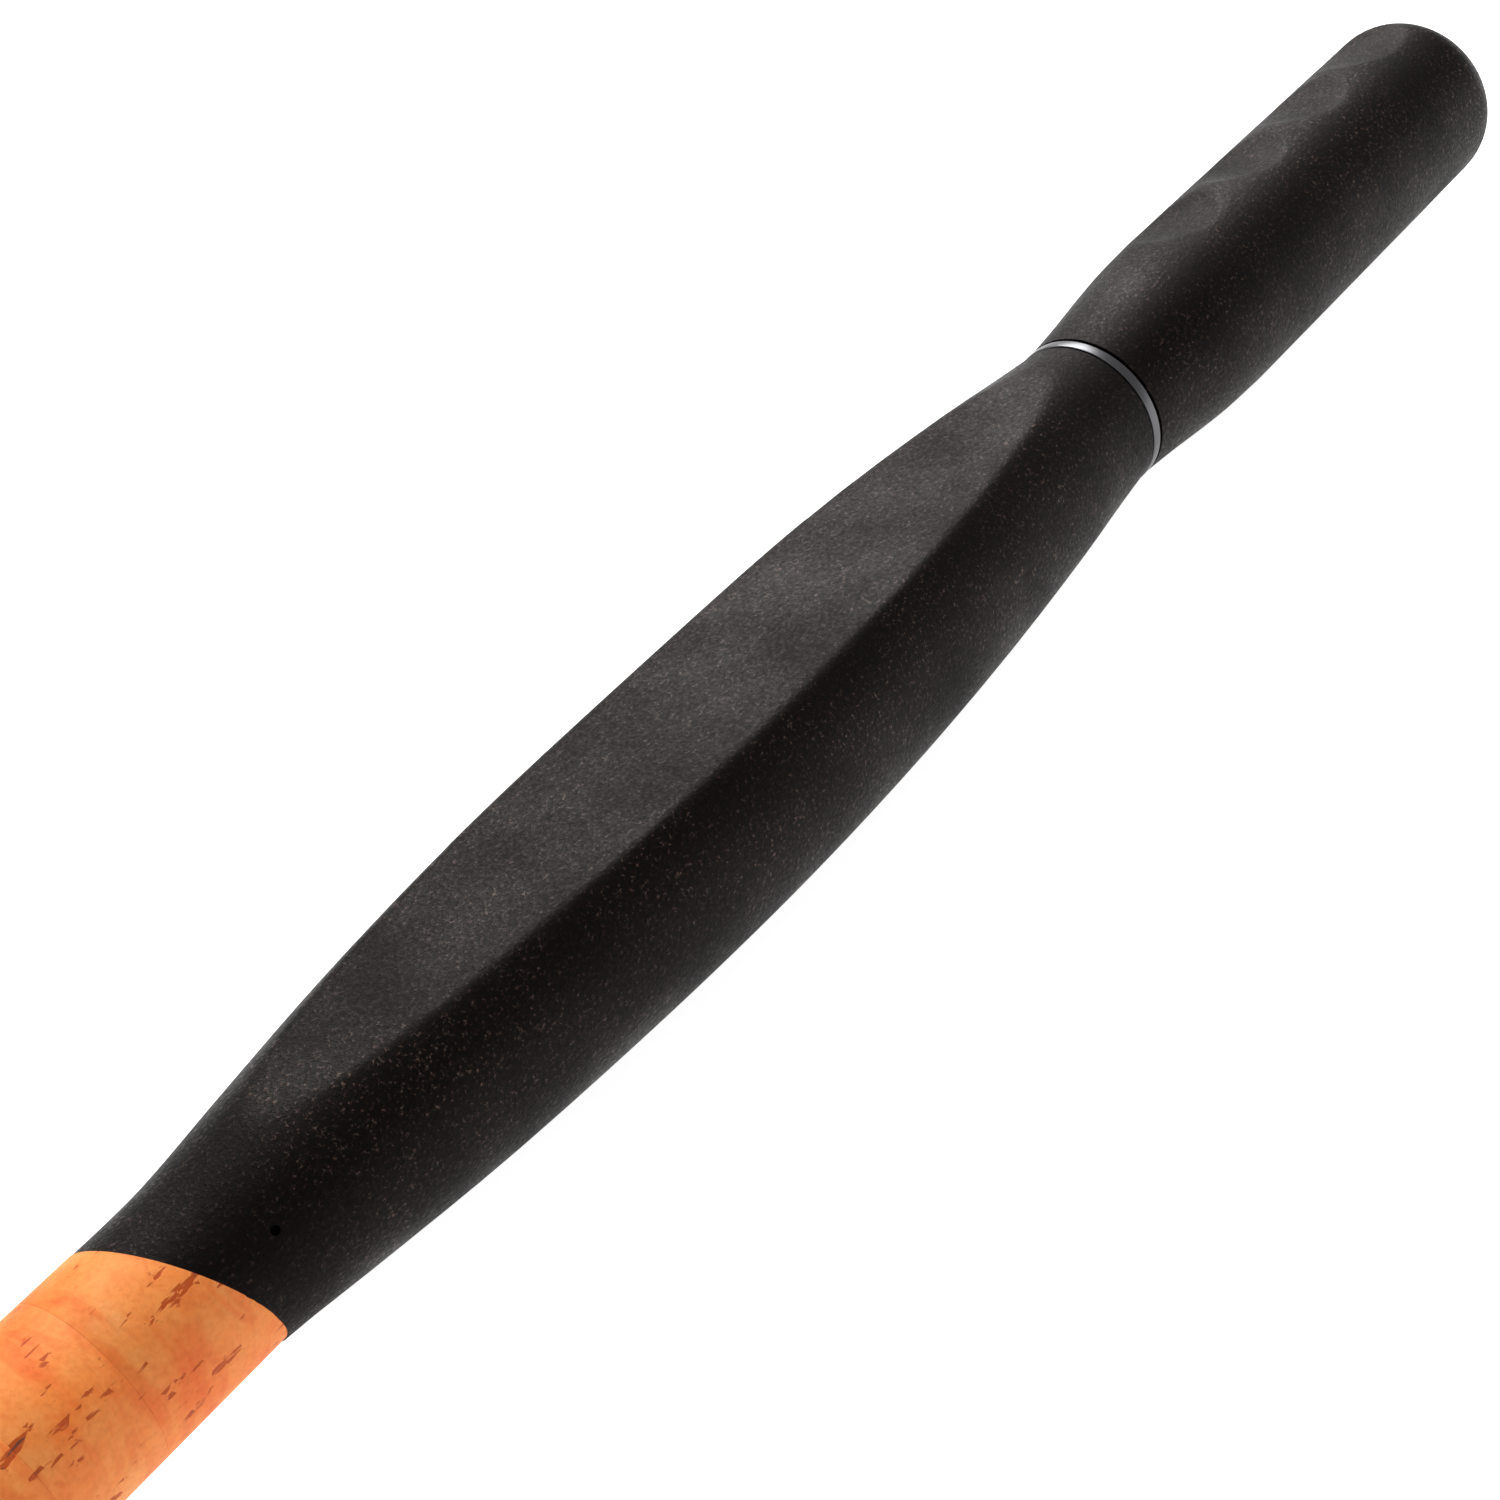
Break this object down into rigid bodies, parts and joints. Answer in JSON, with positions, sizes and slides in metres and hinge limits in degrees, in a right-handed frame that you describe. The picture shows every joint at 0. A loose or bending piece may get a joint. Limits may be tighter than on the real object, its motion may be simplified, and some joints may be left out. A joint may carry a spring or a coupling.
{
  "type": "fishing rod handle",
  "caption": "Butt section of a two-piece spinning rod: foam and cork grips, screw reel seat, fold-down hook keeper and ferrule socket.",
  "frame": {"origin": "centre of the butt grip's flat end face, on the handle's axis", "axes": "+X along the handle to the tip; the handle lies on its round back, with one of the rear grip's two flats facing +Z and the other facing -Y; the reel side faces halfway between -Y and +Z"},
  "size_m": [0.61, 0.0322, 0.0322],
  "materials": {
    "eva_foam": "matt",
    "natural_cork": "matt",
    "satin_aluminium": "satin",
    "filled_nylon": "satin",
    "brushed_stainless": "brushed",
    "soft_liner": "matt",
    "arbor_board": "matt",
    "carbon_blank": "gloss",
    "plug_rubber": "matt",
    "keeper_steel": "polished",
    "binding_thread": "varnished"
  },
  "bodies": {
    "handle": {"butt_grip": "eva_foam", "trim_ring": "satin_aluminium", "rear_grip": "eva_foam", "cork_ring_1": "natural_cork", "cork_ring_2": "natural_cork", "cork_ring_3": "natural_cork", "cork_ring_4": "natural_cork", "cork_ring_5": "natural_cork", "cork_ring_6": "natural_cork", "cork_ring_7": "natural_cork", "cork_ring_8": "natural_cork", "rear_winding_check": "satin_aluminium", "seat_barrel": "filled_nylon", "seat_arbor_1": "arbor_board", "seat_arbor_2": "arbor_board", "seat_arbor_3": "arbor_board", "fixed_hood": "brushed_stainless", "fixed_hood_cushion": "soft_liner", "fore_cork_ring_1": "natural_cork", "fore_cork_ring_2": "natural_cork", "fore_cork_ring_3": "natural_cork", "fore_grip_cap": "eva_foam", "front_winding_check": "satin_aluminium", "rod_blank": "carbon_blank", "butt_plug": "plug_rubber", "ferrule_tube": "carbon_blank", "splice_spigot": "carbon_blank", "ferrule_collar": "satin_aluminium", "keeper_base": "keeper_steel", "rear_foot_wrap": "binding_thread", "front_foot_wrap": "binding_thread"},
    "hood": {"sliding_hood": "brushed_stainless", "sliding_hood_cushion": "soft_liner"},
    "nut": {"locking_nut": "filled_nylon"},
    "keeper": {"keeper_loop": "keeper_steel"}
  },
  "joints": [
    {"name": "nut_turn", "type": "hinge", "parent": "hood", "child": "nut", "pos_m": [0.4904, 0, 0], "axis": [1, 0, 0], "range_deg": [-4680, 0]},
    {"name": "hood_slide", "type": "slide", "parent": "handle", "child": "hood", "axis": [1, 0, 0], "range_m": [-0.026, 0]},
    {"name": "keeper_fold", "type": "hinge", "parent": "handle", "child": "keeper", "pos_m": [0.579, -0.00622, 0.00622], "axis": [0, -0.7071, -0.7071], "range_deg": [0, 180]}
  ],
  "couplings": [
    {"joint": "hood_slide", "follows": "nut_turn", "m_per_rad": 0.0003183}
  ]
}
